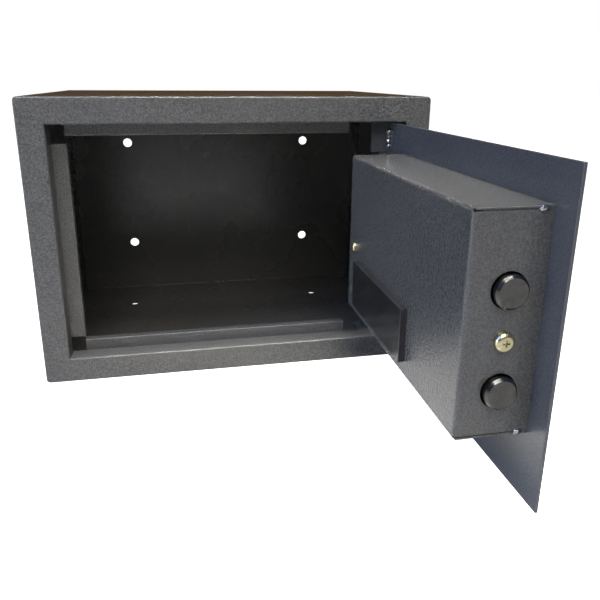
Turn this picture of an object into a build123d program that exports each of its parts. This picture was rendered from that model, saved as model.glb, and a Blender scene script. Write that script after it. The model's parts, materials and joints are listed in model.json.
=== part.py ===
from build123d import *
import os
from math import cos, pi, radians, sin

# A small wall safe: +X to the right and +Z up as seen from the front, +Y towards the wall.
# The origin is the centre of the four wall holes, on the back panel's outer face.
# The door is modelled a quarter turn open, with its bolts drawn in.

# Cabinet
width = 350.0
height = 250.0
depth = 250.0
wall = 2.0
corner_radius = 3.5
rim = 22.0
rim_edge_radius = 1.5
flange_depth = 17.5
hem_depth = 8.0
wall_hole_spacing_x = 219.0
wall_hole_spacing_z = 126.0
wall_hole_radius = 5.25
floor_hole_radius = 4.25
floor_hole_setback = 63.5

# Door stops, folded strips behind the rim
stop_height = 10.5
stop_depth = 7.0
stop_edge_radius = 0.9
stop_left_x = -141.0
stop_right_x = 104.5
side_stop_inner_x = -140.5
side_stop_low_z = -89.0
side_stop_high_z = 86.0

# Hinges
hinge_x = 133.5
hinge_y = -222.5
pin_radius = 3.0
pin_fit = 0.06
collar_radius = 5.5
pin_stub = 1.0
pin_below_leaf = 2.0
lug_low_x = 121.0
lug_high_x = 148.0
lug_thickness = 3.0
lug_reach = 10.0
leaf_thickness = 3.0
leaf_reach = 16.7
leaf_span = 17.4
leaf_corner_radius = 6.0
bracket_leg_height = 23.5
bracket_x = 124.6

# Door plate
door_width = 303.0
door_height = 203.5
door_thickness = 2.0
door_edge_radius = 0.4
door_seat_gap = 0.5

# Lock cover, a folded box on the door's inner face; "along" runs towards the free edge
cover_hinge_end = -86.4
cover_free_end = 134.0
cover_low_z = -59.0
cover_high_z = 77.0
cover_depth = 46.5
cover_sheet = 1.2
cover_bend_radius = 2.6
relief_hole_radius = 1.1
relief_hole_inset = 1.3
seam_width = 0.7
seam_depth = 0.8
seam_edge_radius = 0.4
seam_short_of_plate = 5.0

# Live bolts and their carriage
lock_z = 0.75
bolt_spacing = 60.5
bolt_radius = 10.0
bolt_hole_radius = 10.9
bolt_axis_depth = 21.6
bolt_throw = 18.0
bolt_show = 5.0
bolt_chamfer = 1.5
spigot_radius = 4.0
rivet_radius = 6.0
rivet_height = 1.6
carriage_sheet = 2.0
carriage_lift = 4.3
carriage_flange_at = 107.0
carriage_end_at = 40.0
carriage_half_height = 45.0
carriage_flange_depth = 34.0
guide_radius = 2.9
guide_slot_radius = 3.2
guide_foot_radius = 5.0
guide_head_height = 2.0
guide_gap = 0.3
guide_points_along = (98.0, 66.0)
guide_z = 33.0

# Knob, spindle and cam
knob_along = 62.0
crank_radius = 18.0
crank_half_swing = 30.0
crank_pin_radius = 2.5
crank_pin_top = 9.0
crank_slot_gap = 0.25
cam_radius = 22.0
cam_low = 0.8
cam_thickness = 3.0
spindle_radius = 4.0
spindle_inner_end = 7.5
spindle_outer_end = 29.0
spindle_clearance = 1.0
bush_radius = 8.0
bush_flange_radius = 11.0
bush_flange_thickness = 1.5
bush_inner_end = 0.5
knob_base_radius = 18.0
knob_base_thickness = 4.0
knob_bar_length = 35.0
knob_bar_width = 12.0
knob_bar_height = 13.5
knob_edge_radius = 1.5

# Solenoid and plunger
solenoid_along = 75.0
solenoid_width = 20.0
solenoid_depth = 14.0
solenoid_low_z = 53.0
solenoid_high_z = 75.0
solenoid_edge_radius = 1.5
plunger_radius = 4.0
plunger_fit = 0.1
plunger_gap = 0.3
plunger_top_z = 68.0
plunger_bore_top_z = 72.0
plunger_collar_radius = 5.6
plunger_collar_thickness = 1.0
notch_width = 9.0
notch_depth = 5.0
spring_wire_radius = 0.4
spring_coil_radius = 4.9
spring_turns = 3

# Keypad bezel on the door's outer face
bezel_hinge_end = -72.0
bezel_free_end = 98.0
bezel_low_z = -42.0
bezel_high_z = 44.0
bezel_thickness = 12.0
bezel_wall = 2.0
bezel_corner_radius = 8.0
bezel_edge_radius = 1.8
key_columns = (-16.0, -34.0, -52.0)
key_rows = (28.0, 10.0, -8.0, -26.0)
key_names = ("1", "2", "3", "4", "5", "6", "7", "8", "9", "star", "0", "hash")
key_size = 13.0
key_corner_radius = 2.0
key_flange = 15.4
key_flange_thickness = 1.2
key_flange_gap = 0.2
key_gap = 0.3
key_show = 1.8
key_travel = 1.2
key_dome_radius = 3.25
key_edge_radius = 0.7
board_thickness = 1.6
board_lift = 2.0
board_margin = 3.0
board_free_end = -3.0
window_along = 18.0
window_z = -20.0
window_length = 24.0
window_height = 8.0
window_show = 0.6
bezel_screw_along = (88.0, -64.0)
bezel_screw_z = 34.0
bezel_screw_radius = 1.5
bezel_boss_radius = 3.0
bezel_screw_head_radius = 2.8
bezel_screw_head_height = 2.0
bezel_screw_grip = 8.0

# Emergency key lock and its swinging cover
key_lock_along = 18.0
key_lock_z = 20.0
key_lock_radius = 7.5
key_lock_inner_end = 14.0
key_lock_nut_radius = 11.0
key_lock_nut_thickness = 3.0
plug_radius = 5.0
plug_fit = 0.06
plug_show = 0.4
key_slot_width = 1.6
key_slot_length = 7.0
key_slot_depth = 8.0
tail_length = 20.0
tail_width = 8.0
tail_thickness = 2.0
key_cover_pivot_z = 32.5
key_cover_half_width = 9.5
key_cover_drop = 20.5
key_cover_rise = 5.0
key_cover_corner_radius = 4.0
key_cover_thickness = 2.0
key_cover_gap = 0.5
pivot_screw_radius = 1.6
pivot_screw_head_radius = 3.0
pivot_screw_head_height = 1.4

# Battery box, cells and battery cover
battery_mid_z = -28.25
battery_box_length = 106.0
battery_box_height = 34.5
battery_box_depth = 18.0
battery_box_wall = 1.5
cell_radius = 7.15
cell_length = 49.5
cell_nub_radius = 2.6
cell_nub_length = 1.0
cell_pitch = 15.2
cell_end_gap = 0.2
cell_lift = 1.0
contact_size = 11.0
contact_thickness = 0.4
battery_cover_length = 112.0
battery_cover_height = 38.5
battery_cover_thickness = 5.0
battery_cover_edge_radius = 0.5
battery_cover_lip_inset = 0.6
battery_cover_gap = 0.05

# Cover fasteners
side_screw_z = 1.0
side_screw_head_radius = 6.0
side_screw_head_height = 3.6
side_screw_radius = 3.0
side_screw_grip = 8.0
tab_thickness = 2.5
tab_width = 18.0
tab_overhang = 8.0
face_screw_along = -70.0
face_screw_z = 0.0
face_screw_head_radius = 3.9
face_screw_head_height = 2.6
face_screw_radius = 2.0
face_screw_grip = 10.0
post_radius = 4.5
screw_recess_width = 1.1
screw_recess_depth = 1.4
screw_recess_share = 0.55
screw_head_top_share = 0.7

# Worked out from the values above
front_y = -depth
door_way_width = width - 2 * rim
door_way_height = height - 2 * rim
stop_front_y = front_y + flange_depth
door_inner_y = stop_front_y - door_seat_gap
door_face_x = hinge_x + hinge_y - door_inner_y
door_mid_y = hinge_y - hinge_x
plate_outer = -door_thickness
bezel_face = plate_outer - bezel_thickness
cover_inside = cover_depth - cover_sheet
bolt_rows = (lock_z + bolt_spacing / 2, lock_z - bolt_spacing / 2)
crank_along = knob_along - crank_radius * sin(radians(crank_half_swing))
crank_z = lock_z + crank_radius * cos(radians(crank_half_swing))
carriage_top = carriage_lift + carriage_sheet
plunger_depth = solenoid_depth / 2
plunger_low_z = carriage_half_height + plunger_gap


def door_plane(inward):
    """A plane parallel to the door: x towards the free edge, y up, facing into the safe."""
    return Plane(origin=(door_face_x - inward, door_mid_y, 0), x_dir=(0, -1, 0), z_dir=(-1, 0, 0))


def edge_plane(along):
    """A plane square to the door: x towards the door's outer side, y up, facing the free edge."""
    return Plane(origin=(door_face_x, door_mid_y - along, 0), x_dir=(1, 0, 0), z_dir=(0, -1, 0))


def block(low_x, high_x, low_y, high_y):
    """A rectangle in the running sketch, from its two corners."""
    with Locations(((low_x + high_x) / 2, (low_y + high_y) / 2)):
        Rectangle(abs(high_x - low_x), abs(high_y - low_y))


def save(piece, name):
    piece.part.label = name
    export_step(piece.part, f"parts/{name}.step")


def disc(plane, x, y, radius, length, mode=Mode.ADD):
    """A round bar or hole that starts on a plane."""
    with BuildSketch(plane) as profile:
        with Locations((x, y)):
            Circle(radius)
    extrude(profile.sketch, amount=length, mode=mode)


os.makedirs("parts", exist_ok=True)

# ---------------------------------------------------------------- cabinet
with BuildPart() as cabinet_wrap:
    with BuildSketch(Plane.XZ):
        RectangleRounded(width, height, corner_radius)
        Rectangle(width - 2 * wall, height - 2 * wall, mode=Mode.SUBTRACT)
    extrude(amount=depth - wall)
    with BuildSketch(Plane.XY.offset(-height / 2)):
        with Locations((0, -floor_hole_setback)):
            with GridLocations(wall_hole_spacing_x, 0, 2, 1):
                Circle(floor_hole_radius)
    extrude(amount=wall, mode=Mode.SUBTRACT)
save(cabinet_wrap, "cabinet_wrap")

with BuildPart() as back_panel:
    with BuildSketch(Plane.XZ):
        Rectangle(width - 2 * wall, height - 2 * wall)
        with GridLocations(wall_hole_spacing_x, wall_hole_spacing_z, 2, 2):
            Circle(wall_hole_radius, mode=Mode.SUBTRACT)
    extrude(amount=wall)
save(back_panel, "back_panel")

with BuildPart() as front_frame:
    with BuildSketch(Plane.XZ.offset(depth - wall)):
        RectangleRounded(width, height, corner_radius)
    extrude(amount=wall)
    with BuildSketch(Plane.XZ.offset(depth - wall)):
        Rectangle(door_way_width + 2 * wall, door_way_height + 2 * wall)
    extrude(amount=wall - flange_depth)
    with BuildSketch(Plane.XZ.offset(depth)):
        Rectangle(door_way_width, door_way_height)
    extrude(amount=-flange_depth, mode=Mode.SUBTRACT)
    # the hinge side has only a short hem, so that the plate's edge can swing in behind it
    with BuildSketch(Plane.XZ.offset(depth - hem_depth)):
        block(door_way_width / 2, door_way_width / 2 + wall, -door_way_height / 2, door_way_height / 2)
    extrude(amount=hem_depth - flange_depth, mode=Mode.SUBTRACT)
    fillet(front_frame.faces().sort_by(Axis.Y)[0].edges(), rim_edge_radius)
save(front_frame, "front_frame")


def level_stop(side):
    """The folded strip along the top (side 1) or the bottom (side -1) of the doorway."""
    edge_z = door_way_height / 2
    with BuildPart() as stop:
        with BuildSketch(Plane.YZ.offset(stop_left_x)):
            block(stop_front_y, stop_front_y + wall, side * (edge_z + wall), side * (edge_z - stop_height))
            block(stop_front_y, stop_front_y + stop_depth,
                  side * (edge_z - stop_height), side * (edge_z - stop_height + wall))
        extrude(amount=stop_right_x - stop_left_x)
        lip = stop.edges().filter_by(Axis.X).group_by(Axis.Y)[0].sort_by(Axis.Z)
        fillet(lip[0] if side > 0 else lip[-1], stop_edge_radius)
    return stop


for place, side in (("top", 1), ("bottom", -1)):
    save(level_stop(side), f"door_stop_{place}")

with BuildPart() as door_stop_left:
    with BuildSketch(Plane.XY.offset(side_stop_low_z)):
        block(-door_way_width / 2 - wall, side_stop_inner_x, stop_front_y, stop_front_y + wall)
        block(side_stop_inner_x - wall, side_stop_inner_x, stop_front_y, stop_front_y + stop_depth)
    extrude(amount=side_stop_high_z - side_stop_low_z)
    lip = door_stop_left.edges().filter_by(Axis.Z).group_by(Axis.Y)[0].sort_by(Axis.X)
    fillet(lip[-1], stop_edge_radius)
save(door_stop_left, "door_stop_left")


# ---------------------------------------------------------------- hinges
def upright(side, near, far):
    """A plane that faces away from the door's middle, and the length from near to far."""
    return Plane(origin=(0, 0, side * near), x_dir=(1, 0, 0), z_dir=(0, 0, side)), far - near


def mirror_y(side, y):
    """The sketch's y for a given Y: an upside-down plane has its y axis reversed."""
    return side * y


def hinge_lug(side):
    """The frame's half of a hinge: a leaf that holds the pin and a leg up to the cabinet wall."""
    leaf_z = door_way_height / 2
    with BuildPart() as lug:
        plane, length = upright(side, leaf_z, leaf_z + lug_thickness)
        with BuildSketch(plane):
            block(lug_low_x, lug_high_x, mirror_y(side, stop_front_y), mirror_y(side, hinge_y + lug_reach))
        extrude(amount=length)
        plane, length = upright(side, leaf_z, height / 2 - wall)
        with BuildSketch(plane):
            block(lug_low_x, lug_high_x,
                  mirror_y(side, stop_front_y), mirror_y(side, stop_front_y + lug_thickness))
        extrude(amount=length)
        disc(plane, hinge_x, mirror_y(side, hinge_y), pin_radius, lug_thickness, Mode.SUBTRACT)
    return lug


def hinge_pin(side):
    """A stepped pin fixed in the lug; its collar carries the door's leaf."""
    lug_z = door_way_height / 2
    leaf_far = door_height / 2 - door_seat_gap / 2
    with BuildPart() as pin:
        pin_near = leaf_far - leaf_thickness - pin_below_leaf
        plane, length = upright(side, pin_near, lug_z + lug_thickness + pin_stub)
        disc(plane, hinge_x, mirror_y(side, hinge_y), pin_radius, length)
        plane, length = upright(side, leaf_far + pin_fit, lug_z)
        disc(plane, hinge_x, mirror_y(side, hinge_y), collar_radius, length)
    return pin


def hinge_bracket(side):
    """The door's half of a hinge: an upright leg welded to the plate, and a leaf round the pin."""
    leaf_far = door_height / 2 - door_seat_gap / 2
    leaf_near = leaf_far - leaf_thickness
    leg_low = leaf_near - bracket_leg_height
    with BuildPart() as bracket:
        with BuildSketch(door_plane(0)):
            block(-bracket_x - leaf_thickness, -bracket_x, side * leg_low, side * leaf_near)
        extrude(amount=leaf_reach)
        plane, length = upright(side, leaf_near, leaf_far)
        leaf_start = door_mid_y + bracket_x
        with BuildSketch(plane):
            block(door_face_x - leaf_reach, door_face_x,
                  mirror_y(side, leaf_start), mirror_y(side, leaf_start + leaf_span))
        extrude(amount=length)
        far_corner = bracket.edges().filter_by(Axis.Z).group_by(Axis.Y)[-1].sort_by(Axis.X)[0]
        fillet(far_corner, leaf_corner_radius)
        disc(plane, hinge_x, mirror_y(side, hinge_y), pin_radius + pin_fit, length, Mode.SUBTRACT)
    return bracket


for place, side in (("top", 1), ("bottom", -1)):
    save(hinge_lug(side), f"hinge_lug_{place}")
    save(hinge_pin(side), f"hinge_pin_{place}")
    save(hinge_bracket(side), f"hinge_bracket_{place}")

# ---------------------------------------------------------------- door plate
with BuildPart() as door_plate:
    with BuildSketch(door_plane(0)):
        Rectangle(door_width, door_height)
        with Locations((knob_along, lock_z)):
            Circle(bush_radius, mode=Mode.SUBTRACT)
        with Locations((key_lock_along, key_lock_z)):
            Circle(key_lock_radius, mode=Mode.SUBTRACT)
        with Locations([(x, side * bezel_screw_z) for x in bezel_screw_along for side in (1, -1)]):
            Circle(bezel_screw_radius, mode=Mode.SUBTRACT)
    extrude(amount=-door_thickness)
    rim_edges = door_plate.edges().filter_by(GeomType.LINE)
    fillet(rim_edges, door_edge_radius)
save(door_plate, "door_plate")

# ---------------------------------------------------------------- lock cover
def seam_profile(end, inward_x, level, inward_z):
    """What a corner seam takes away: the gap between two flanges, and their rounded edges."""
    second_flange = cover_sheet + seam_width
    with BuildSketch(door_plane(seam_short_of_plate)) as profile:
        block(end, end + inward_x * seam_depth, level, level + inward_z * (second_flange + seam_edge_radius))
        for near, far in ((0, cover_sheet), (second_flange, 2 * second_flange)):
            with Locations((end + inward_x * seam_depth, level + inward_z * (near + far) / 2)):
                RectangleRounded(2 * seam_depth, far - near, seam_edge_radius, mode=Mode.SUBTRACT)
    return profile.sketch


with BuildPart() as lock_cover:
    with BuildSketch(door_plane(0)):
        block(cover_hinge_end, cover_free_end, cover_low_z, cover_high_z)
    extrude(amount=cover_depth)
    fillet(lock_cover.faces().sort_by(Axis.X)[0].edges(), cover_bend_radius)
    with BuildSketch(door_plane(0)):
        block(cover_hinge_end + cover_sheet, cover_free_end - cover_sheet,
              cover_low_z + cover_sheet, cover_high_z - cover_sheet)
    extrude(amount=cover_inside, mode=Mode.SUBTRACT)
    # round holes for the bolts and the side screw
    for z in bolt_rows:
        disc(edge_plane(cover_free_end), -bolt_axis_depth, z, bolt_hole_radius, -cover_sheet, Mode.SUBTRACT)
    disc(edge_plane(cover_free_end), -bolt_axis_depth, side_screw_z,
         side_screw_radius, -cover_sheet, Mode.SUBTRACT)
    disc(door_plane(cover_depth), face_screw_along, face_screw_z,
         face_screw_radius, -cover_sheet, Mode.SUBTRACT)
    # the window for the cells
    with BuildSketch(door_plane(cover_depth)):
        with Locations((0, battery_mid_z)):
            Rectangle(battery_box_length - 2 * battery_box_wall, battery_box_height - 2 * battery_box_wall)
    extrude(amount=-cover_sheet, mode=Mode.SUBTRACT)
    # small relief holes where three folds meet
    relief_points = [(x, z)
                     for x in (cover_hinge_end + relief_hole_inset, cover_free_end - relief_hole_inset)
                     for z in (cover_low_z + relief_hole_inset, cover_high_z - relief_hole_inset)]
    with BuildSketch(door_plane(cover_depth)):
        with Locations(relief_points):
            Circle(relief_hole_radius)
    extrude(amount=-2 * cover_bend_radius, mode=Mode.SUBTRACT)
    # open seams where the end flanges meet the top and bottom ones, closed near the plate
    for end, inward_x in ((cover_free_end, -1), (cover_hinge_end, 1)):
        for level, inward_z in ((cover_high_z, -1), (cover_low_z, 1)):
            extrude(seam_profile(end, inward_x, level, inward_z),
                    amount=cover_depth - seam_short_of_plate, mode=Mode.SUBTRACT)
save(lock_cover, "lock_cover")


# ---------------------------------------------------------------- screws
def cross_recess(plane, x, y):
    """A cross cut into a screw head, in the running part."""
    with BuildSketch(plane) as profile:
        with Locations((x, y)):
            for turn in (0, 90):
                Rectangle(2 * screw_recess_share * face_screw_head_radius, screw_recess_width, rotation=turn)
    extrude(profile.sketch, amount=-screw_recess_depth, mode=Mode.SUBTRACT)


def domed_screw(plane, x, y, head_radius, head_height, shank_radius, grip):
    """A pan-head screw: its head stands on the plane and its shank runs back from it."""
    with BuildPart() as screw:
        disc(plane, x, y, head_radius, head_height)
        crown = screw.faces().sort_by(Axis(plane.origin, plane.z_dir))[-1]
        fillet(crown.edges(), screw_head_top_share * head_height)
        cross_recess(plane.offset(head_height), x, y)
        disc(plane, x, y, shank_radius, -grip)
    return screw


cover_side_screw = domed_screw(edge_plane(cover_free_end), -bolt_axis_depth, side_screw_z,
                               side_screw_head_radius, side_screw_head_height,
                               side_screw_radius, side_screw_grip)
save(cover_side_screw, "cover_side_screw")
cover_face_screw = domed_screw(door_plane(cover_depth), face_screw_along, face_screw_z,
                               face_screw_head_radius, face_screw_head_height,
                               face_screw_radius, face_screw_grip)
save(cover_face_screw, "cover_face_screw")

# a tab and a post on the plate, which the cover's two screws go into
with BuildPart() as cover_tab:
    tab_end = cover_free_end - cover_sheet
    with BuildSketch(door_plane(0)):
        block(tab_end - tab_thickness, tab_end, side_screw_z - tab_width / 2, side_screw_z + tab_width / 2)
    extrude(amount=bolt_axis_depth + tab_overhang)
    disc(edge_plane(tab_end), -bolt_axis_depth, side_screw_z,
         side_screw_radius, -tab_thickness, Mode.SUBTRACT)
save(cover_tab, "cover_tab")

with BuildPart() as cover_post:
    disc(door_plane(0), face_screw_along, face_screw_z, post_radius, cover_inside)
    disc(door_plane(cover_inside), face_screw_along, face_screw_z,
         face_screw_radius, cover_sheet - face_screw_grip, Mode.SUBTRACT)
save(cover_post, "cover_post")

# ---------------------------------------------------------------- bolts and carriage
with BuildPart() as carriage_plate:
    with BuildSketch(door_plane(carriage_lift)):
        block(carriage_end_at, carriage_flange_at, -carriage_half_height, carriage_half_height)
        # straight slots for the guides
        for x in guide_points_along:
            with Locations([(x - bolt_throw / 2, side * guide_z) for side in (1, -1)]):
                SlotCenterToCenter(bolt_throw + 2 * guide_gap, 2 * guide_slot_radius, mode=Mode.SUBTRACT)
        # an upright slot for the crank pin
        slot_low = crank_z - crank_slot_gap
        slot_high = lock_z + crank_radius + crank_slot_gap
        with Locations((crank_along, (slot_low + slot_high) / 2)):
            SlotCenterToCenter(slot_high - slot_low, 2 * (crank_pin_radius + crank_slot_gap),
                               rotation=90, mode=Mode.SUBTRACT)
        # room for the spindle's end
        with Locations((knob_along - bolt_throw / 2, lock_z)):
            SlotCenterToCenter(bolt_throw, 2 * (spindle_radius + spindle_clearance), mode=Mode.SUBTRACT)
        # the notch that the plunger falls into when the bolts are out
        with Locations((solenoid_along - bolt_throw, carriage_half_height - notch_depth / 2)):
            Rectangle(notch_width, notch_depth, mode=Mode.SUBTRACT)
    extrude(amount=carriage_sheet)
    with BuildSketch(edge_plane(carriage_flange_at)):
        block(-carriage_flange_depth, -carriage_lift, -carriage_half_height, carriage_half_height)
        with Locations([(-bolt_axis_depth, z) for z in bolt_rows]):
            Circle(spigot_radius, mode=Mode.SUBTRACT)
    extrude(amount=-carriage_sheet)
save(carriage_plate, "carriage_plate")


def live_bolt(z):
    """A round bolt with a chamfered end, riveted through the carriage's flange."""
    tip = cover_free_end + bolt_show
    with BuildPart() as bolt:
        disc(edge_plane(carriage_flange_at), -bolt_axis_depth, z, bolt_radius, tip - carriage_flange_at)
        chamfer(bolt.faces().sort_by(Axis.Y)[0].edges(), bolt_chamfer)
        disc(edge_plane(carriage_flange_at), -bolt_axis_depth, z, spigot_radius, -carriage_sheet)
        disc(edge_plane(carriage_flange_at - carriage_sheet), -bolt_axis_depth, z,
             rivet_radius, -rivet_height)
    return bolt


for place, z in zip(("upper", "lower"), bolt_rows):
    save(live_bolt(z), f"bolt_{place}")

# headed studs on the plate that guide the carriage
with BuildPart() as carriage_guides:
    for x in guide_points_along:
        for z in (guide_z, -guide_z):
            disc(door_plane(0), x, z, guide_foot_radius, carriage_lift - guide_gap)
            disc(door_plane(0), x, z, guide_radius, carriage_top + guide_gap)
            disc(door_plane(carriage_top + guide_gap), x, z, guide_foot_radius, guide_head_height)
save(carriage_guides, "carriage_guides")

# ---------------------------------------------------------------- knob
with BuildPart() as knob_bush:
    disc(door_plane(bush_inner_end), knob_along, lock_z, bush_radius, -bush_inner_end - door_thickness)
    disc(door_plane(plate_outer), knob_along, lock_z, bush_flange_radius, -bush_flange_thickness)
    disc(door_plane(bush_inner_end), knob_along, lock_z, spindle_radius + pin_fit,
         -bush_inner_end - door_thickness - bush_flange_thickness, Mode.SUBTRACT)
save(knob_bush, "knob_bush")

with BuildPart() as knob_spindle:
    disc(door_plane(spindle_inner_end), knob_along, lock_z, spindle_radius,
         -spindle_inner_end - spindle_outer_end)
save(knob_spindle, "knob_spindle")

with BuildPart() as knob_cam:
    disc(door_plane(cam_low), knob_along, lock_z, cam_radius, cam_thickness)
    disc(door_plane(cam_low), knob_along, lock_z, spindle_radius, cam_thickness, Mode.SUBTRACT)
    disc(door_plane(cam_low + cam_thickness), crank_along, crank_z,
         crank_pin_radius, crank_pin_top - cam_low - cam_thickness)
save(knob_cam, "knob_cam")

knob_foot = bezel_face - key_cover_gap
with BuildPart() as knob:
    disc(door_plane(knob_foot), knob_along, lock_z, knob_base_radius, -knob_base_thickness)
    fillet(knob.faces().sort_by(Axis.X)[-1].edges(), knob_edge_radius)
    with BuildSketch(door_plane(knob_foot - knob_base_thickness)):
        with Locations((knob_along, lock_z)):
            SlotOverall(knob_bar_length, knob_bar_width, rotation=90)
    extrude(amount=-knob_bar_height)
    fillet(knob.faces().sort_by(Axis.X)[-1].edges(), knob_edge_radius)
    disc(door_plane(knob_foot), knob_along, lock_z, spindle_radius,
         -spindle_outer_end - knob_foot, Mode.SUBTRACT)
save(knob, "knob")

# ---------------------------------------------------------------- solenoid
with BuildPart() as solenoid_body:
    with BuildSketch(door_plane(0)):
        block(solenoid_along - solenoid_width / 2, solenoid_along + solenoid_width / 2,
              solenoid_low_z, solenoid_high_z)
    extrude(amount=solenoid_depth)
    fillet(solenoid_body.faces().sort_by(Axis.X)[0].edges(), solenoid_edge_radius)
    with BuildSketch(Plane.XY.offset(solenoid_low_z)):
        with Locations((door_face_x - plunger_depth, door_mid_y - solenoid_along)):
            Circle(plunger_radius + plunger_fit)
    extrude(amount=plunger_bore_top_z - solenoid_low_z, mode=Mode.SUBTRACT)
save(solenoid_body, "solenoid_body")

plunger_x = door_face_x - plunger_depth
plunger_y = door_mid_y - solenoid_along
collar_low_z = plunger_low_z + plunger_collar_thickness
with BuildPart() as solenoid_plunger:
    disc(Plane.XY.offset(plunger_low_z), plunger_x, plunger_y, plunger_radius, plunger_top_z - plunger_low_z)
    disc(Plane.XY.offset(collar_low_z), plunger_x, plunger_y, plunger_collar_radius, plunger_collar_thickness)
save(solenoid_plunger, "solenoid_plunger")

spring_low_z = collar_low_z + plunger_collar_thickness + spring_wire_radius
spring_length = solenoid_low_z - spring_wire_radius - spring_low_z
with BuildPart() as plunger_spring:
    with BuildLine(Plane(origin=(plunger_x, plunger_y, spring_low_z))):
        coil = Helix(spring_length / spring_turns, spring_length, spring_coil_radius)
    with BuildSketch(Plane(origin=coil @ 0, z_dir=coil % 0)):
        Circle(spring_wire_radius)
    sweep(path=coil, is_frenet=True)
save(plunger_spring, "plunger_spring")

# ---------------------------------------------------------------- keypad
key_points = [(x, z) for z in key_rows for x in key_columns]

with BuildPart() as keypad_bezel:
    with BuildSketch(door_plane(plate_outer)):
        with Locations(((bezel_hinge_end + bezel_free_end) / 2, (bezel_low_z + bezel_high_z) / 2)):
            RectangleRounded(bezel_free_end - bezel_hinge_end, bezel_high_z - bezel_low_z,
                             bezel_corner_radius)
    extrude(amount=-bezel_thickness)
    fillet(keypad_bezel.faces().sort_by(Axis.X)[-1].edges(), bezel_edge_radius)
    with BuildSketch(door_plane(plate_outer)):
        with Locations(((bezel_hinge_end + bezel_free_end) / 2, (bezel_low_z + bezel_high_z) / 2)):
            RectangleRounded(bezel_free_end - bezel_hinge_end - 2 * bezel_wall,
                             bezel_high_z - bezel_low_z - 2 * bezel_wall, bezel_corner_radius - bezel_wall)
    extrude(amount=bezel_wall - bezel_thickness, mode=Mode.SUBTRACT)
    # bosses for the screws that come through the door plate
    for x in bezel_screw_along:
        for z in (bezel_screw_z, -bezel_screw_z):
            disc(door_plane(plate_outer), x, z, bezel_boss_radius, bezel_wall - bezel_thickness)
            disc(door_plane(plate_outer), x, z, bezel_screw_radius,
                 bezel_wall - bezel_thickness, Mode.SUBTRACT)
    # holes for the keys, the window, the lock and the knob's spindle
    with BuildSketch(door_plane(bezel_face)):
        with Locations(key_points):
            RectangleRounded(key_size + 2 * key_gap, key_size + 2 * key_gap, key_corner_radius)
        with Locations((window_along, window_z)):
            Rectangle(window_length, window_height)
        with Locations((key_lock_along, key_lock_z)):
            Circle(key_lock_radius)
        with Locations((key_lock_along, key_cover_pivot_z)):
            Circle(pivot_screw_radius)
        with Locations((knob_along, lock_z)):
            Circle(bush_radius)
    extrude(amount=bezel_wall, mode=Mode.SUBTRACT)
save(keypad_bezel, "keypad_bezel")

board_low = plate_outer - board_lift
with BuildPart() as keypad_board:
    with BuildSketch(door_plane(board_low)):
        block(bezel_hinge_end + bezel_wall + board_margin + bezel_corner_radius, board_free_end,
              key_rows[-1] - key_flange / 2, key_rows[0] + key_flange / 2)
    extrude(amount=-board_thickness)
    for x, z in key_points:
        disc(door_plane(board_low - board_thickness), x, z, key_dome_radius,
             -(bezel_thickness - bezel_wall - key_flange_gap - key_flange_thickness
               - board_lift - board_thickness - key_travel - key_gap))
save(keypad_board, "keypad_board")


def key(x, z):
    """A keypad key: a cap that shows through the bezel and a flange that keeps it in."""
    flange_face = bezel_face + bezel_wall + key_flange_gap
    with BuildPart() as piece:
        with BuildSketch(door_plane(flange_face)):
            with Locations((x, z)):
                RectangleRounded(key_size, key_size, key_corner_radius)
        extrude(amount=bezel_face - key_show - flange_face)
        fillet(piece.faces().sort_by(Axis.X)[-1].edges(), key_edge_radius)
        with BuildSketch(door_plane(flange_face)):
            with Locations((x, z)):
                Rectangle(key_flange, key_flange)
        extrude(amount=key_flange_thickness)
    return piece


for name, (x, z) in zip(key_names, key_points):
    save(key(x, z), f"key_{name}")

with BuildPart() as indicator_window:
    with BuildSketch(door_plane(bezel_face + bezel_wall)):
        with Locations((window_along, window_z)):
            Rectangle(window_length, window_height)
    extrude(amount=-bezel_wall - window_show)
    fillet(indicator_window.faces().sort_by(Axis.X)[-1].edges(), window_show / 2)
save(indicator_window, "indicator_window")

with BuildPart() as bezel_screws:
    for x in bezel_screw_along:
        for z in (bezel_screw_z, -bezel_screw_z):
            disc(door_plane(0), x, z, bezel_screw_head_radius, bezel_screw_head_height)
            disc(door_plane(0), x, z, bezel_screw_radius, -bezel_screw_grip)
save(bezel_screws, "bezel_screws")

# ---------------------------------------------------------------- emergency key lock
with BuildPart() as key_lock_housing:
    disc(door_plane(bezel_face), key_lock_along, key_lock_z, key_lock_radius, key_lock_inner_end - bezel_face)
    disc(door_plane(0), key_lock_along, key_lock_z, key_lock_nut_radius, key_lock_nut_thickness)
    disc(door_plane(bezel_face), key_lock_along, key_lock_z, plug_radius + plug_fit,
         key_lock_inner_end - bezel_face, Mode.SUBTRACT)
save(key_lock_housing, "key_lock_housing")

with BuildPart() as key_plug:
    plug_face = bezel_face - plug_show + key_cover_gap
    disc(door_plane(plug_face), key_lock_along, key_lock_z,
         plug_radius, key_lock_inner_end + pin_stub - plug_face)
    with BuildSketch(door_plane(plug_face)):
        with Locations((key_lock_along, key_lock_z)):
            Rectangle(key_slot_width, key_slot_length)
    extrude(amount=key_slot_depth, mode=Mode.SUBTRACT)
    with BuildSketch(door_plane(key_lock_inner_end + pin_stub)):
        with Locations((key_lock_along, key_lock_z + tail_length / 2 - tail_width / 2)):
            SlotOverall(tail_length, tail_width, rotation=90)
    extrude(amount=tail_thickness)
save(key_plug, "key_plug")

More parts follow.
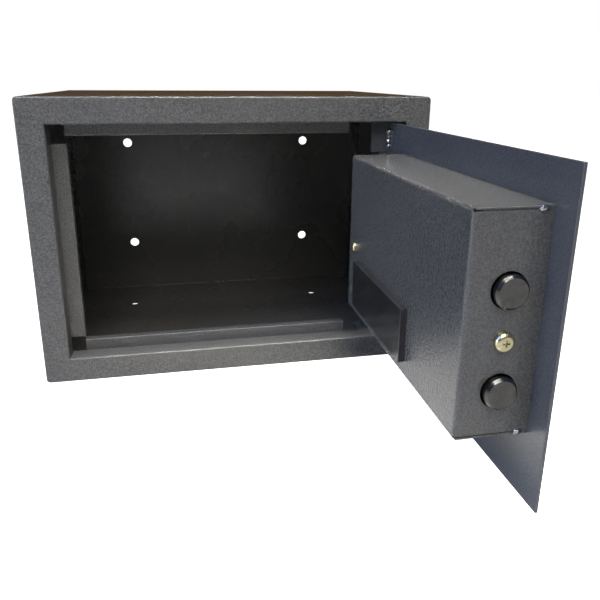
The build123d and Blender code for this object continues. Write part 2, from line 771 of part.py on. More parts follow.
with BuildPart() as key_cover:
    with BuildSketch(door_plane(bezel_face - key_cover_gap)):
        block(key_lock_along - key_cover_half_width, key_lock_along + key_cover_half_width,
              key_cover_pivot_z - key_cover_drop, key_cover_pivot_z + key_cover_rise)
    extrude(amount=-key_cover_thickness)
    fillet(key_cover.edges().filter_by(Axis.X), key_cover_corner_radius)
    fillet(key_cover.faces().sort_by(Axis.X)[-1].edges(), key_edge_radius)
    disc(door_plane(bezel_face - key_cover_gap), key_lock_along, key_cover_pivot_z,
         pivot_screw_radius + pin_fit, -key_cover_thickness, Mode.SUBTRACT)
save(key_cover, "key_cover")

with BuildPart() as key_cover_screw:
    head_face = bezel_face - 2 * key_cover_gap - key_cover_thickness
    disc(door_plane(bezel_face + bezel_wall), key_lock_along, key_cover_pivot_z,
         pivot_screw_radius, head_face - bezel_face - bezel_wall)
    disc(door_plane(head_face), key_lock_along, key_cover_pivot_z,
         pivot_screw_head_radius, -pivot_screw_head_height)
save(key_cover_screw, "key_cover_screw")

# ---------------------------------------------------------------- batteries
box_low = cover_inside - battery_box_depth
with BuildPart() as battery_box:
    with BuildSketch(door_plane(box_low)):
        with Locations((0, battery_mid_z)):
            Rectangle(battery_box_length, battery_box_height)
    extrude(amount=battery_box_depth)
    with BuildSketch(door_plane(box_low + battery_box_wall)):
        with Locations((0, battery_mid_z)):
            Rectangle(battery_box_length - 2 * battery_box_wall, battery_box_height - 2 * battery_box_wall)
    extrude(amount=battery_box_depth - battery_box_wall, mode=Mode.SUBTRACT)
save(battery_box, "battery_box")

cell_depth = box_low + battery_box_wall + cell_lift + cell_radius
with BuildPart() as batteries:
    for z in (battery_mid_z + cell_pitch / 2, battery_mid_z - cell_pitch / 2):
        for start in (cell_end_gap, -cell_end_gap - cell_length - cell_nub_length):
            disc(edge_plane(start), -cell_depth, z, cell_radius, cell_length)
            disc(edge_plane(start + cell_length), -cell_depth, z, cell_nub_radius, cell_nub_length)
save(batteries, "batteries")

with BuildPart() as battery_contacts:
    end = battery_box_length / 2 - battery_box_wall
    for z in (battery_mid_z + cell_pitch / 2, battery_mid_z - cell_pitch / 2):
        for start in (end - contact_thickness, -end):
            with BuildSketch(edge_plane(start)):
                with Locations((-cell_depth, z)):
                    Rectangle(contact_size, contact_size)
            extrude(amount=contact_thickness)
save(battery_contacts, "battery_contacts")

with BuildPart() as battery_cover:
    with BuildSketch(door_plane(cover_depth + battery_cover_gap)):
        with Locations((0, battery_mid_z)):
            Rectangle(battery_cover_length, battery_cover_height)
    extrude(amount=battery_cover_thickness - battery_cover_gap)
    fillet(battery_cover.faces().sort_by(Axis.X)[0].edges(), battery_cover_edge_radius)
    lip_length = battery_box_length - 2 * battery_box_wall - 2 * battery_cover_lip_inset
    lip_height = battery_box_height - 2 * battery_box_wall - 2 * battery_cover_lip_inset
    with BuildSketch(door_plane(cover_depth + battery_cover_gap)):
        with Locations((0, battery_mid_z)):
            Rectangle(lip_length, lip_height)
            Rectangle(lip_length - 2 * battery_box_wall, lip_height - 2 * battery_box_wall,
                      mode=Mode.SUBTRACT)
    extrude(amount=-battery_cover_gap - cover_sheet)
save(battery_cover, "battery_cover")

print("nodes", len(os.listdir("parts")))
print("bolt slide per radian of knob, mm", bolt_throw / (2 * crank_half_swing * pi / 180))
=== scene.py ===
import json
from math import cos, pi, radians, sin

import bmesh
import bpy
from mathutils import Matrix, Vector


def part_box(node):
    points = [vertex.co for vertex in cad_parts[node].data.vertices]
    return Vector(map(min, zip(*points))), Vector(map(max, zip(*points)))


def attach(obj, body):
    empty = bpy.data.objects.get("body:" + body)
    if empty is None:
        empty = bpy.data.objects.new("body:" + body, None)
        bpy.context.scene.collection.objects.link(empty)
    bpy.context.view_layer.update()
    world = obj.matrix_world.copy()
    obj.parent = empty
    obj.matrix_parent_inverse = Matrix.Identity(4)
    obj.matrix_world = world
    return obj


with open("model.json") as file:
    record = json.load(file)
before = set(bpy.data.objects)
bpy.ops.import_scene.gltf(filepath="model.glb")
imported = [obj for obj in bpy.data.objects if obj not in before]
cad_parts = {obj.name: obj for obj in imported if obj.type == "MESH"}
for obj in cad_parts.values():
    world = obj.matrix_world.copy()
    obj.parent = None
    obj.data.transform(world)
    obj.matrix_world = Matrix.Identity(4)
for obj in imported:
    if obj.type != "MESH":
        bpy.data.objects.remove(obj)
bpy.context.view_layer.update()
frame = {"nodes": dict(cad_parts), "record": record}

# ---------------------------------------------------------------- places, from the frame
cabinet_low, cabinet_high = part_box("cabinet_wrap")
back_low, back_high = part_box("back_panel")
cover_low, cover_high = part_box("lock_cover")
wall = back_high.y - back_low.y
inner_back_y = back_low.y
inner_floor_z = cabinet_low.z + wall
inner_right_x = cabinet_high.x - wall
plate_inner_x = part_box("door_plate")[0].x


def middle(node):
    low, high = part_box(node)
    return (low + high) / 2


# ---------------------------------------------------------------- material helpers
def new_material(name):
    """A material with an empty tree but for its shader and output."""
    material = bpy.data.materials.new(name)
    material.use_nodes = True
    tree = material.node_tree
    tree.nodes.clear()
    output = tree.nodes.new("ShaderNodeOutputMaterial")
    shader = tree.nodes.new("ShaderNodeBsdfPrincipled")
    tree.links.new(shader.outputs["BSDF"], output.inputs["Surface"])
    return material, tree, shader


def add(tree, kind, inputs=None, **settings):
    """A node, with its settings and its inputs: a value, or another node's output to link."""
    node = tree.nodes.new(kind)
    for name, value in settings.items():
        setattr(node, name, value)
    for name, value in (inputs or {}).items():
        if isinstance(value, bpy.types.NodeSocket):
            tree.links.new(value, node.inputs[name])
        else:
            node.inputs[name].default_value = value
    return node


def place(tree):
    return add(tree, "ShaderNodeTexCoord").outputs["Object"]


def noise(tree, where, scale, detail=2.0, roughness=0.5):
    found = add(tree, "ShaderNodeTexNoise", {"Vector": where, "Scale": scale, "Detail": detail,
                                             "Roughness": roughness})
    return found.outputs["Fac"]


def calculate(tree, operation, first, second=0.0):
    return add(tree, "ShaderNodeMath", {0: first, 1: second}, operation=operation).outputs[0]


def remap(tree, value, low, high, new_low, new_high):
    found = add(tree, "ShaderNodeMapRange", {"Value": value, "From Min": low, "From Max": high,
                                             "To Min": new_low, "To Max": new_high})
    return found.outputs["Result"]


def mix(tree, share, first, second):
    """A colour between two others."""
    node = add(tree, "ShaderNodeMix", {0: share}, data_type="RGBA")
    for socket, value in ((node.inputs[6], first), (node.inputs[7], second)):
        if isinstance(value, bpy.types.NodeSocket):
            tree.links.new(value, socket)
        else:
            socket.default_value = (*value, 1.0)
    return node.outputs[2]


def bump(tree, height, distance):
    inputs = {"Height": height, "Distance": distance, "Strength": 1.0}
    return add(tree, "ShaderNodeBump", inputs).outputs["Normal"]


def join(tree, shader, **sockets):
    """Links or sets the shader's sockets, with _ for a space in a name."""
    for name, value in sockets.items():
        socket = shader.inputs[name.replace("_", " ")]
        if isinstance(value, bpy.types.NodeSocket):
            tree.links.new(value, socket)
        else:
            socket.default_value = value


def shade(colour, amount):
    return tuple(min(1.0, channel * amount) for channel in colour)


# ---------------------------------------------------------------- materials
# most of a noise's values lie in this span
NOISE_SPAN = (0.3, 0.7)
WIDE_SPAN = (0.35, 0.7)

# powder coat
PEEL_SCALE = 560.0
SMOOTH_PEEL_SCALE = 400.0
GRAIN_SCALE = 950.0
SPECK_SCALE = 1500.0
MOTTLE_SCALE = 11.0
PIT_SPAN = (0.35, 0.65)
FLECK_SPAN = (0.62, 0.74)
FLECK_SHARE = 0.5
FLECK_SHADE = 2.6
FLECK_RISE = 0.18
MOTTLE_SHARE = 0.35
MOTTLE_SHADE = 0.8
LID_SKIN = 0.001

# metals
HANDLED_SCALE = 90.0
TURNED_SCALE = 160.0
TURNED_DULL = 0.7
TURNED_DEPTH = 0.000012
RING_RISE = 0.5

# plastics
TOUCHED_SCALE = 45.0
TOUCHED_SPAN = (0.3, 0.75)
TOUCHED_SHADE = 1.5
COAT_ROUGHNESS = 0.05

# circuit board and cells
TRACK_SCALE = 160.0
TRACK_WIDTH = 0.03
TRACK_DEPTH = 0.00004
BOARD_GRAIN_SCALE = 800.0
CELLS_IN_LINE = 2
BAND_SHARE = 0.26
BAND_METAL = 0.8
SLEEVE_SCALE = 300.0
SLEEVE_DEPTH = 0.00001


def powder_coat(name, colour, peel, roughness, contrast, specular=0.5, peel_scale=PEEL_SCALE,
                painted_lid_shade=None):
    """Powder coat: an orange-peel skin with fine pale specks and a slow mottle, and a painted shade on
    the cabinet's top face when a lid colour is given.
    """
    material, tree, shader = new_material(name)
    where = place(tree)
    skin = noise(tree, where, peel_scale, detail=2.5, roughness=0.55)
    speck = noise(tree, where, SPECK_SCALE, detail=1.0)
    mottle = noise(tree, where, MOTTLE_SCALE, detail=3.0)
    grain = noise(tree, where, GRAIN_SCALE, detail=2.0)
    pits = remap(tree, grain, *PIT_SPAN, 0.0, 1.0)
    ground = mix(tree, pits, shade(colour, 1 - contrast), shade(colour, 1 + contrast))
    flecks = remap(tree, speck, *FLECK_SPAN, 0.0, FLECK_SHARE)
    flecked = mix(tree, flecks, ground, shade(colour, FLECK_SHADE))
    clouds = remap(tree, mottle, *NOISE_SPAN, 0.0, MOTTLE_SHARE)
    toned = mix(tree, clouds, flecked, shade(colour, MOTTLE_SHADE))
    # painted shade: the top face takes a dark brown in place of the paint's own tone, standing in for
    # the dark surroundings it reflects
    if painted_lid_shade:
        level = add(tree, "ShaderNodeSeparateXYZ", {"Vector": where}).outputs["Z"]
        on_shaded_lid = calculate(tree, "GREATER_THAN", level, cabinet_high.z - LID_SKIN)
        toned = mix(tree, on_shaded_lid, toned, painted_lid_shade)
    height = calculate(tree, "ADD", skin, calculate(tree, "MULTIPLY", speck, FLECK_RISE))
    join(tree, shader, Base_Color=toned, Roughness=remap(tree, mottle, *NOISE_SPAN, *roughness),
         Normal=bump(tree, height, peel), Specular_IOR_Level=specular)
    return material


def plated(name, colour, roughness=(0.2, 0.34), grain=(900.0, 900.0, 60.0), depth=0.00002, dull=0.75):
    """Plated or ground metal with a fine directional grain and light handling marks."""
    material, tree, shader = new_material(name)
    where = place(tree)
    stretched = add(tree, "ShaderNodeMapping", {"Vector": where, "Scale": grain}).outputs["Vector"]
    lines = noise(tree, stretched, 1.0, detail=3.0, roughness=0.6)
    marks = noise(tree, where, HANDLED_SCALE, detail=4.0, roughness=0.65)
    tone = mix(tree, remap(tree, marks, *WIDE_SPAN, 0.0, 1.0), colour, shade(colour, dull))
    join(tree, shader, Base_Color=tone, Metallic=1.0,
         Roughness=remap(tree, marks, *NOISE_SPAN, *roughness),
         Normal=bump(tree, lines, depth))
    return material


def turned(name, colour, node, half_spacing, roughness, ring_pitch=0.0011):
    """Lathe-turned metal: rings about the axis of the node and of its pair, which run along Y."""
    material, tree, shader = new_material(name)
    centre = middle(node)
    where = place(tree)
    split = add(tree, "ShaderNodeSeparateXYZ", {"Vector": where})
    side = calculate(tree, "SUBTRACT", split.outputs["X"], centre.x)
    height_off_middle = calculate(tree, "SUBTRACT", split.outputs["Z"], centre.z - half_spacing)
    level = calculate(tree, "ABSOLUTE", height_off_middle)
    rise = calculate(tree, "SUBTRACT", level, half_spacing)
    squared = calculate(tree, "ADD", calculate(tree, "MULTIPLY", side, side),
                        calculate(tree, "MULTIPLY", rise, rise))
    radius = calculate(tree, "SQRT", squared)
    rings = calculate(tree, "SINE", calculate(tree, "MULTIPLY", radius, 2 * pi / ring_pitch))
    marks = noise(tree, where, TURNED_SCALE, detail=4.0, roughness=0.7)
    tone = mix(tree, remap(tree, marks, *WIDE_SPAN, 0.0, 1.0), colour, shade(colour, TURNED_DULL))
    height = calculate(tree, "ADD", calculate(tree, "MULTIPLY", rings, RING_RISE), marks)
    join(tree, shader, Base_Color=tone, Metallic=1.0,
         Roughness=remap(tree, marks, *NOISE_SPAN, *roughness),
         Normal=bump(tree, height, TURNED_DEPTH))
    return material


def moulded(name, colour, roughness, grain=0.00002, grain_scale=1400.0, specular=0.5, coat=0.0):
    """Moulded plastic or rubber with a fine tool texture and faint handling marks."""
    material, tree, shader = new_material(name)
    where = place(tree)
    texture = noise(tree, where, grain_scale, detail=2.0)
    marks = noise(tree, where, TOUCHED_SCALE, detail=4.0, roughness=0.6)
    tone = mix(tree, remap(tree, marks, *TOUCHED_SPAN, 0.0, 1.0), colour, shade(colour, TOUCHED_SHADE))
    join(tree, shader, Base_Color=tone, Roughness=remap(tree, marks, *NOISE_SPAN, *roughness),
         Normal=bump(tree, texture, grain), Specular_IOR_Level=specular, Coat_Weight=coat,
         Coat_Roughness=COAT_ROUGHNESS)
    return material


def circuit_board(name):
    """Solder resist over copper tracks."""
    material, tree, shader = new_material(name)
    where = place(tree)
    tracks = add(tree, "ShaderNodeTexBrick", {"Vector": where, "Scale": TRACK_SCALE,
                                              "Mortar Size": TRACK_WIDTH,
                                              "Mortar": (0.02, 0.10, 0.04, 1.0),
                                              "Color1": (0.006, 0.045, 0.016, 1.0),
                                              "Color2": (0.008, 0.06, 0.02, 1.0)})
    grain = noise(tree, where, BOARD_GRAIN_SCALE)
    join(tree, shader, Base_Color=tracks.outputs["Color"],
         Roughness=remap(tree, grain, *NOISE_SPAN, 0.25, 0.4),
         Normal=bump(tree, tracks.outputs["Fac"], TRACK_DEPTH))
    return material


def cell_sleeve(name, low_y, high_y):
    """Shrink sleeves on the cells: dark, with a metallic band at each cell's positive end."""
    material, tree, shader = new_material(name)
    where = place(tree)
    split = add(tree, "ShaderNodeSeparateXYZ", {"Vector": where})
    cell_pitch = (high_y - low_y) / CELLS_IN_LINE
    along = calculate(tree, "SUBTRACT", split.outputs["Y"], low_y)
    share = calculate(tree, "FRACT", calculate(tree, "DIVIDE", along, cell_pitch))
    band = calculate(tree, "LESS_THAN", share, BAND_SHARE)
    grain = noise(tree, where, SLEEVE_SCALE)
    tone = mix(tree, band, (0.02, 0.02, 0.022), (0.42, 0.40, 0.37))
    join(tree, shader, Base_Color=tone, Metallic=calculate(tree, "MULTIPLY", band, BAND_METAL),
         Roughness=remap(tree, grain, *NOISE_SPAN, 0.22, 0.34), Normal=bump(tree, grain, SLEEVE_DEPTH))
    return material


bolt_spacing = middle("bolt_upper").z - middle("bolt_lower").z
cells_low, cells_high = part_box("batteries")
materials = {
    # the cabinet paint's lid colour is painted shade: a dark brown top face
    "cabinet_paint": powder_coat("cabinet_paint", (0.054, 0.053, 0.049), peel=0.00020, specular=0.4,
                                 roughness=(0.22, 0.32), contrast=0.35,
                                 painted_lid_shade=(0.020, 0.015, 0.009)),
    "frame_paint": powder_coat("frame_paint", (0.060, 0.060, 0.058), peel=0.0006,
                               roughness=(0.26, 0.36), contrast=0.6),
    # the door paint is tinted blue, unlike the cover paint: painted bluish light from the window at
    # the left
    "door_paint": powder_coat("door_paint", (0.052, 0.055, 0.062), peel=0.00018,
                              roughness=(0.14, 0.22), contrast=0.2, peel_scale=SMOOTH_PEEL_SCALE),
    "cover_paint": powder_coat("cover_paint", (0.053, 0.054, 0.054), peel=0.0004,
                               roughness=(0.12, 0.2), contrast=0.28, peel_scale=SMOOTH_PEEL_SCALE),
    "hinge_steel": plated("hinge_steel", (0.62, 0.62, 0.61)),
    "yellow_zinc": plated("yellow_zinc", (0.66, 0.60, 0.38), dull=0.6),
    "zinc_steel": plated("zinc_steel", (0.55, 0.56, 0.58)),
    "bolt_steel": turned("bolt_steel", (0.10, 0.10, 0.095), "bolt_upper", bolt_spacing / 2,
                         (0.16, 0.26)),
    "bush_brass": plated("bush_brass", (0.66, 0.50, 0.22)),
    "knob_plastic": moulded("knob_plastic", (0.012, 0.012, 0.013), (0.16, 0.28), coat=0.4),
    "bezel_plastic": moulded("bezel_plastic", (0.020, 0.020, 0.021), (0.42, 0.55), grain=0.00006),
    "key_rubber": moulded("key_rubber", (0.075, 0.077, 0.082), (0.5, 0.62), grain=0.00004),
    "board": circuit_board("board"),
    "window_plastic": moulded("window_plastic", (0.055, 0.004, 0.004), (0.06, 0.12), coat=0.6),
    "solenoid_coil": plated("solenoid_coil", (0.10, 0.10, 0.11), roughness=(0.4, 0.5)),
    "plunger_steel": plated("plunger_steel", (0.55, 0.55, 0.54)),
    "lock_chrome": plated("lock_chrome", (0.72, 0.72, 0.71), roughness=(0.1, 0.2)),
    "key_cover_plastic": moulded("key_cover_plastic", (0.014, 0.014, 0.015), (0.2, 0.32), coat=0.3),
    "battery_cover_plastic": moulded("battery_cover_plastic", (0.010, 0.010, 0.011), (0.10, 0.2),
                                     grain=0.000008),
    "battery_box_plastic": moulded("battery_box_plastic", (0.022, 0.022, 0.023), (0.4, 0.5)),
    "cell_sleeve": cell_sleeve("cell_sleeve", cells_low.y, cells_high.y),
    "contact_metal": plated("contact_metal", (0.66, 0.65, 0.62)),
}
figure_white = moulded("figure_white", (0.62, 0.62, 0.60), (0.45, 0.6))
lamps = {name: moulded(f"lamp_{name}", colour, (0.1, 0.2), coat=0.5)
         for name, colour in (("red", (0.45, 0.02, 0.015)), ("yellow", (0.5, 0.33, 0.02)),
                              ("green", (0.03, 0.32, 0.05)))}

for part in frame["record"]["subparts"]:
    mesh = frame["nodes"][part["node"]].data
    mesh.materials.clear()
    mesh.materials.append(materials[part["material_slot"]])


# ---------------------------------------------------------------- mesh helpers
def make_piece(name, form, material, body):
    """A smooth mesh piece from a bmesh, riding on a body."""
    mesh = bpy.data.meshes.new(name)
    form.to_mesh(mesh)
    form.free()
    mesh.polygons.foreach_set("use_smooth", [True] * len(mesh.polygons))
    mesh.materials.append(material)
    piece = bpy.data.objects.new(name, mesh)
    bpy.context.scene.collection.objects.link(piece)
    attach(piece, body)


BLOB_SUBDIVISIONS = 3
BEAD_STEPS_PER_RIPPLE = 4
BEAD_FEWEST_STEPS = 8
BEAD_TAPER_RATE = 8
BEAD_END_TAPER = 0.12
BEAD_RIPPLE = 0.22
BEAD_UNEVENNESS = 0.14
BEAD_SLOW_WAVES = 17


def blob(form, centre, radii, waves=0.16, turn=0.0):
    """Adds a lumpy ellipsoid, such as a drop of weld metal."""
    made = bmesh.ops.create_icosphere(form, subdivisions=BLOB_SUBDIVISIONS, radius=1.0)
    for vertex in made["verts"]:
        p = vertex.co
        lump = 1 + waves * (sin(5 * p.x + turn) * sin(4 * p.y - turn) + 0.5 * sin(9 * p.z + 2 * turn))
        vertex.co = Vector(p[i] * radii[i] * lump for i in range(3)) + Vector(centre)


def bead(form, start, end, radius, pitch, turn=0.0, sides=10):
    """Adds a rippled bead of weld metal from one point to another, closed at both ends."""
    start, end = Vector(start), Vector(end)
    axis = (end - start).normalized()
    side = axis.orthogonal().normalized()
    up = axis.cross(side)
    steps = max(BEAD_FEWEST_STEPS, round((end - start).length / pitch) * BEAD_STEPS_PER_RIPPLE)
    rings = []
    for step in range(steps + 1):
        share = step / steps
        taper = BEAD_END_TAPER
        if 0 < share < 1:
            taper = min(1.0, BEAD_TAPER_RATE * share, BEAD_TAPER_RATE * (1 - share)) ** 0.5
        ripple = (1 + BEAD_RIPPLE * sin(2 * pi * share * steps / BEAD_STEPS_PER_RIPPLE + turn)
                  + BEAD_UNEVENNESS * sin(BEAD_SLOW_WAVES * share * pi + 2 * turn))
        centre = start.lerp(end, share)
        reach = radius * taper * ripple
        rings.append([form.verts.new(centre + reach * (side * cos(a) + up * sin(a)))
                      for a in (2 * pi * n / sides for n in range(sides))])
    for near, far in zip(rings, rings[1:]):
        for n in range(sides):
            form.faces.new((near[n], near[(n + 1) % sides], far[(n + 1) % sides], far[n]))
    form.faces.new(list(reversed(rings[0])))
    form.faces.new(rings[-1])


# ---------------------------------------------------------------- welds
SEAM_RADIUS = 0.0007
SEAM_PITCH = 0.009
TACK_RADII = (0.0040, 0.0015, 0.0015)
# the tacks were laid by hand, so they are unevenly spaced
BACK_TACKS_X = (-0.152, -0.098, -0.047, 0.003, 0.045, 0.100, 0.158)
SIDE_TACKS_Z = (-0.112, -0.064, -0.009, 0.041, 0.097)

form = bmesh.new()
bead(form, (-inner_right_x, inner_back_y, inner_floor_z),
     (inner_right_x, inner_back_y, inner_floor_z), SEAM_RADIUS, SEAM_PITCH)
for turn, x in enumerate(BACK_TACKS_X):
    blob(form, (x, inner_back_y, inner_floor_z), TACK_RADII, turn=turn)
make_piece("back_floor_weld", form, materials["cabinet_paint"], "cabinet")

for place_name, side in (("right", 1), ("left", -1)):
    form = bmesh.new()
    x = side * inner_right_x
    bead(form, (x, inner_back_y, inner_floor_z), (x, inner_back_y, -inner_floor_z),
         SEAM_RADIUS, SEAM_PITCH, turn=side)
    for turn, z in enumerate(SIDE_TACKS_Z):
        blob(form, (x, inner_back_y, z), tuple(reversed(TACK_RADII)), turn=turn + side)
    make_piece(f"back_{place_name}_weld", form, materials["cabinet_paint"], "cabinet")

form = bmesh.new()
bead(form, (-inner_right_x, inner_back_y, -inner_floor_z),
     (inner_right_x, inner_back_y, -inner_floor_z), SEAM_RADIUS, SEAM_PITCH, turn=2)
for turn, x in enumerate(BACK_TACKS_X):
    blob(form, (-x, inner_back_y, -inner_floor_z), TACK_RADII, turn=turn + 3)
make_piece("back_roof_weld", form, materials["cabinet_paint"], "cabinet")

bright_weld = plated("bright_weld", (0.30, 0.31, 0.34), roughness=(0.12, 0.2))

# drops of weld metal down the corner between each bracket's leg and the plate
BRACKET_DROPS = ((0.0085, 0.0027), (0.0125, 0.0017), (0.0165, 0.0019), (0.0215, 0.0016))
DROP_SINK = 0.3
DROP_STRETCH = 1.3
for place_name, side in (("top", 1), ("bottom", -1)):
    bracket_low, bracket_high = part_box(f"hinge_bracket_{place_name}")
    leg_face_y = bracket_low.y
    form = bmesh.new()
    for turn, (drop, radius) in enumerate(BRACKET_DROPS):
        z = bracket_high.z - drop if side > 0 else bracket_low.z + drop
        blob(form, (plate_inner_x - radius * DROP_SINK, leg_face_y - radius * DROP_SINK, z),
             (radius, radius, radius * DROP_STRETCH), turn=turn)
    make_piece(f"bracket_weld_{place_name}", form, bright_weld, "door")

# the cover's four corner seams are closed by a short weld near the plate
SEAM_WELD_OFF_PLATE = 0.0062
SEAM_WELD_RADII = (0.0030, 0.0011, 0.0015)
SEAM_BELOW_EDGE = 0.0014
SEAM_WELD_WAVES = 0.2
SEAM_WELD_TURNS = 90
for place_name, z in (("top", cover_high.z - SEAM_BELOW_EDGE),
                      ("bottom", cover_low.z + SEAM_BELOW_EDGE)):
    for end_name, y in (("free", cover_low.y), ("hinge", cover_high.y)):
        form = bmesh.new()
        blob(form, (plate_inner_x - SEAM_WELD_OFF_PLATE, y, z), SEAM_WELD_RADII,
             waves=SEAM_WELD_WAVES, turn=z * SEAM_WELD_TURNS)
        make_piece(f"cover_weld_{place_name}_{end_name}", form, bright_weld, "door")


# ---------------------------------------------------------------- figures, pointer and lamps
def raised_text(name, text, size, height, centre, material, body):
    """Raised characters on a face that looks along +X, upright along +Z."""
    curve = bpy.data.curves.new(name, "FONT")
    curve.body = text
    curve.size = size
    curve.extrude = height / 2
    curve.resolution_u = FIGURE_RESOLUTION
    curve.align_x = "CENTER"
    curve.align_y = "CENTER"
    maker = bpy.data.objects.new(name, curve)
    mesh = bpy.data.meshes.new_from_object(maker)
    bpy.data.objects.remove(maker)
    bpy.data.curves.remove(curve)
    low = Vector(min(v.co[i] for v in mesh.vertices) for i in range(3))
    high = Vector(max(v.co[i] for v in mesh.vertices) for i in range(3))
    mesh.transform(Matrix.Translation(-(low + high) / 2))
    facing = Matrix(((0, 0, 1), (1, 0, 0), (0, 1, 0))).to_4x4()
    mesh.transform(Matrix.Translation(centre) @ facing)
    mesh.name = name
    mesh.materials.clear()
    mesh.materials.append(material)
    piece = bpy.data.objects.new(name, mesh)
    bpy.context.scene.collection.objects.link(piece)
    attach(piece, body)


FIGURE_SIZE = 0.0105
FIGURE_HEIGHT = 0.0002
FIGURE_RESOLUTION = 4
for figure, text in (*((digit, digit) for digit in "1234567890"), ("star", "*"), ("hash", "#")):
    key_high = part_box(f"key_{figure}")[1]
    key_middle = middle(f"key_{figure}")
    face = Vector((key_high.x, key_middle.y, key_middle.z))
    raised_text(f"figure_{figure}", text, FIGURE_SIZE, FIGURE_HEIGHT, face, figure_white,
                f"key_{figure}")


def rounded_bar(form, centre, half, corner, steps=5):
    """Adds a bar with rounded ends, flat in the YZ plane and as thick as half.x says."""
    outline = []
    for turn, (sy, sz) in enumerate(((1, 1), (-1, 1), (-1, -1), (1, -1))):
        for step in range(steps + 1):
            angle = pi / 2 * (turn + step / steps)
            outline.append((centre.y + sy * (half.y - corner) + corner * cos(angle),
                            centre.z + sz * (half.z - corner) + corner * sin(angle)))
    back = [form.verts.new((centre.x - half.x, y, z)) for y, z in outline]
    front = [form.verts.new((centre.x + half.x, y, z)) for y, z in outline]
    for n in range(len(outline)):
        m = (n + 1) % len(outline)
        form.faces.new((back[n], back[m], front[m], front[n]))
    form.faces.new(list(reversed(back)))
    form.faces.new(front)


knob_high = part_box("knob")[1]
POINTER_HALF = Vector((0.00025, 0.0009, 0.0050))
POINTER_CORNER = 0.0008
POINTER_BELOW_TOP = 0.0085
form = bmesh.new()
rounded_bar(form, Vector((knob_high.x, middle("knob").y, knob_high.z - POINTER_BELOW_TOP)),
            POINTER_HALF, POINTER_CORNER)
make_piece("knob_pointer", form, figure_white, "knob")

window_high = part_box("indicator_window")[1]
window_middle = middle("indicator_window")
LAMP_PITCH = 0.0068
LAMP_RADII = (0.0008, 0.0017, 0.0017)
LAMP_SINK = 0.0002
for step, (lamp_name, lamp_material) in enumerate(lamps.items()):
    form = bmesh.new()
    blob(form, (window_high.x - LAMP_SINK, window_middle.y + (step - 1) * LAMP_PITCH,
                window_middle.z), LAMP_RADII, waves=0.0)
    make_piece(f"indicator_{lamp_name}", form, lamp_material, "door")

bezel_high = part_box("keypad_bezel")[1]
MARK_HALF = Vector((0.00012, 0.0006, 0.0020))
MARK_CORNER = 0.0005
MARK_REACH = 0.0205
MARK_ANGLES = (0, -61)
knob_middle = middle("knob_spindle")
form = bmesh.new()
for angle in MARK_ANGLES:
    turned_form = bmesh.new()
    rounded_bar(turned_form, Vector((0, 0, MARK_REACH)), MARK_HALF, MARK_CORNER)
    turn = Matrix.Rotation(radians(angle), 4, "X")
    turned_form.transform(Matrix.Translation((bezel_high.x, knob_middle.y, knob_middle.z)) @ turn)
    part = bpy.data.meshes.new("mark")
    turned_form.to_mesh(part)
    turned_form.free()
    form.from_mesh(part)
    bpy.data.meshes.remove(part)
make_piece("knob_marks", form, figure_white, "door")

# ---------------------------------------------------------------- floor
FLOOR_HALF = 9.0
FLOOR_GRAIN_SCALE = 35.0
FLOOR_DARK, FLOOR_PALE = (0.50, 0.49, 0.465), (0.53, 0.52, 0.495)
FLOOR_ROUGHNESS = 0.6
BACKDROP = (1.0, 1.0, 1.0)
floor_material, floor_tree, floor_shader = new_material("floor")
floor_place = place(floor_tree)
floor_grain = noise(floor_tree, floor_place, FLOOR_GRAIN_SCALE, detail=3.0)
# the floor looks as white as the backdrop, and lights nothing
seen_only = add(floor_tree, "ShaderNodeLightPath").outputs["Is Camera Ray"]
join(floor_tree, floor_shader, Base_Color=mix(floor_tree, floor_grain, FLOOR_DARK, FLOOR_PALE),
     Roughness=FLOOR_ROUGHNESS, Emission_Color=(*BACKDROP, 1.0), Emission_Strength=seen_only)
form = bmesh.new()
bmesh.ops.create_grid(form, x_segments=1, y_segments=1, size=FLOOR_HALF)
floor_mesh = bpy.data.meshes.new("floor")
form.to_mesh(floor_mesh)
form.free()
floor_mesh.materials.append(floor_material)
floor = bpy.data.objects.new("floor", floor_mesh)
floor.location = (0, 0, cabinet_low.z)
bpy.context.scene.collection.objects.link(floor)

# ---------------------------------------------------------------- light
LIGHT_AIM = Vector((0.03, -0.3, 0.0))
CEILING_SPREAD = radians(16)


def softbox(name, spot, width, height, power, colour, aim=LIGHT_AIM, spread=pi):
    light = bpy.data.lights.new(name, "AREA")
    light.shape = "RECTANGLE"
    light.size = width
    light.size_y = height
    light.energy = power
    light.color = colour
    light.spread = spread
    lamp = bpy.data.objects.new(name, light)
    lamp.location = spot
    lamp.rotation_mode = "QUATERNION"
    lamp.rotation_quaternion = (aim - Vector(spot)).to_track_quat("-Z", "Y")
    bpy.context.scene.collection.objects.link(lamp)


softbox("overhead", (0.1, -0.9, 1.8), 1.1, 0.8, 44.0, (1.0, 0.99, 0.95))
softbox("overhead_front", (0.0, -1.8, 1.35), 1.2, 0.8, 27.0, (1.0, 0.98, 0.96))
softbox("window_low", (-1.9, -0.6, 0.15), 1.1, 0.5, 16.0, (0.86, 1.0, 0.80))
softbox("window_high", (-1.5, -0.9, 1.15), 1.0, 1.0, 25.0, (0.18, 0.32, 1.0))
softbox("ceiling", (0.0, -0.42, 1.6), 0.25, 0.25, 1.1, (1.0, 0.95, 0.84),
        aim=Vector((0.0, -0.40, cabinet_low.z)), spread=CEILING_SPREAD)

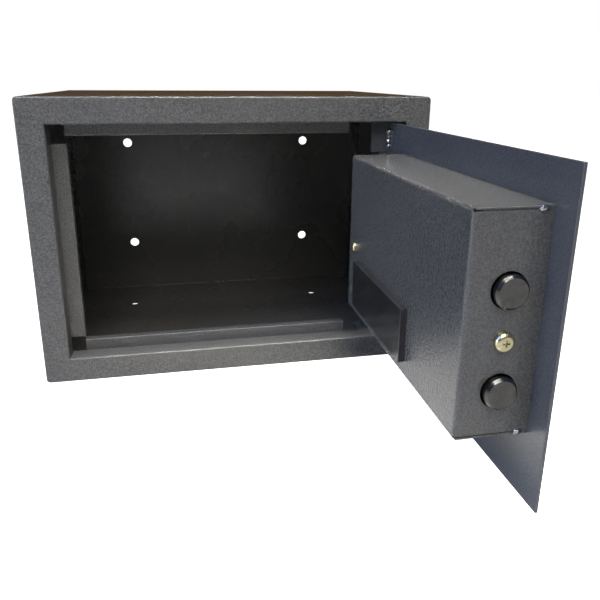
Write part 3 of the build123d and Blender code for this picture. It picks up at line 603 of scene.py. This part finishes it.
# ---------------------------------------------------------------- surroundings
world = bpy.data.worlds.new("studio")
bpy.context.scene.world = world
world.use_nodes = True
tree = world.node_tree
tree.nodes.clear()
ROOM_FRONT, ROOM_BEHIND, ROOM_UP = (0.07, 0.07, 0.07), (0.120, 0.072, 0.030), (0.12, 0.12, 0.12)
UP_SPAN = (0.15, 0.7)
BEHIND_SPAN = (0.0, 0.5)
sky = add(tree, "ShaderNodeTexCoord").outputs["Generated"]
direction = add(tree, "ShaderNodeSeparateXYZ", {"Vector": sky})
high_up = remap(tree, direction.outputs["Z"], *UP_SPAN, 0.0, 1.0)
behind = remap(tree, direction.outputs["Y"], *BEHIND_SPAN, 0.0, 1.0)
around = mix(tree, behind, ROOM_FRONT, ROOM_BEHIND)
room = mix(tree, high_up, around, ROOM_UP)
lit = add(tree, "ShaderNodeBackground", {"Color": room, "Strength": 1.0})
seen = add(tree, "ShaderNodeBackground", {"Color": (*BACKDROP, 1.0), "Strength": 1.0})
path = add(tree, "ShaderNodeLightPath")
both = add(tree, "ShaderNodeMixShader", {0: path.outputs["Is Camera Ray"], 1: lit.outputs[0],
                                         2: seen.outputs[0]})
add(tree, "ShaderNodeOutputWorld", {"Surface": both.outputs[0]})

# ---------------------------------------------------------------- camera
SENSOR_WIDTH = 36.0
FOCAL_LENGTH = 35.56
LENS_SHIFT = (0.0049, -0.0778)
NEAREST = 0.02
camera_data = bpy.data.cameras.new("camera")
camera_data.sensor_width = SENSOR_WIDTH
camera_data.lens = FOCAL_LENGTH
camera_data.shift_x, camera_data.shift_y = LENS_SHIFT
camera = bpy.data.objects.new("camera", camera_data)
CAMERA_SPOT = Vector((-0.04845, -0.76247, 0.13960))
CAMERA_YAW, CAMERA_PITCH, CAMERA_ROLL = 0.1967, -0.2865, 0.0067
level = Vector((sin(CAMERA_YAW), cos(CAMERA_YAW), 0))
right = Vector((cos(CAMERA_YAW), -sin(CAMERA_YAW), 0))
up = Vector((0, 0, 1))
ahead = level * cos(CAMERA_PITCH) + up * sin(CAMERA_PITCH)
tilted_up = up * cos(CAMERA_PITCH) - level * sin(CAMERA_PITCH)
rolled_right = right * cos(CAMERA_ROLL) + tilted_up * sin(CAMERA_ROLL)
rolled_up = tilted_up * cos(CAMERA_ROLL) - right * sin(CAMERA_ROLL)
turn = Matrix((rolled_right, rolled_up, -ahead)).transposed().to_4x4()
camera.matrix_world = Matrix.Translation(CAMERA_SPOT) @ turn
camera_data.clip_start = NEAREST
bpy.context.scene.collection.objects.link(camera)
bpy.context.scene.camera = camera
bpy.context.scene.view_settings.view_transform = "Standard"
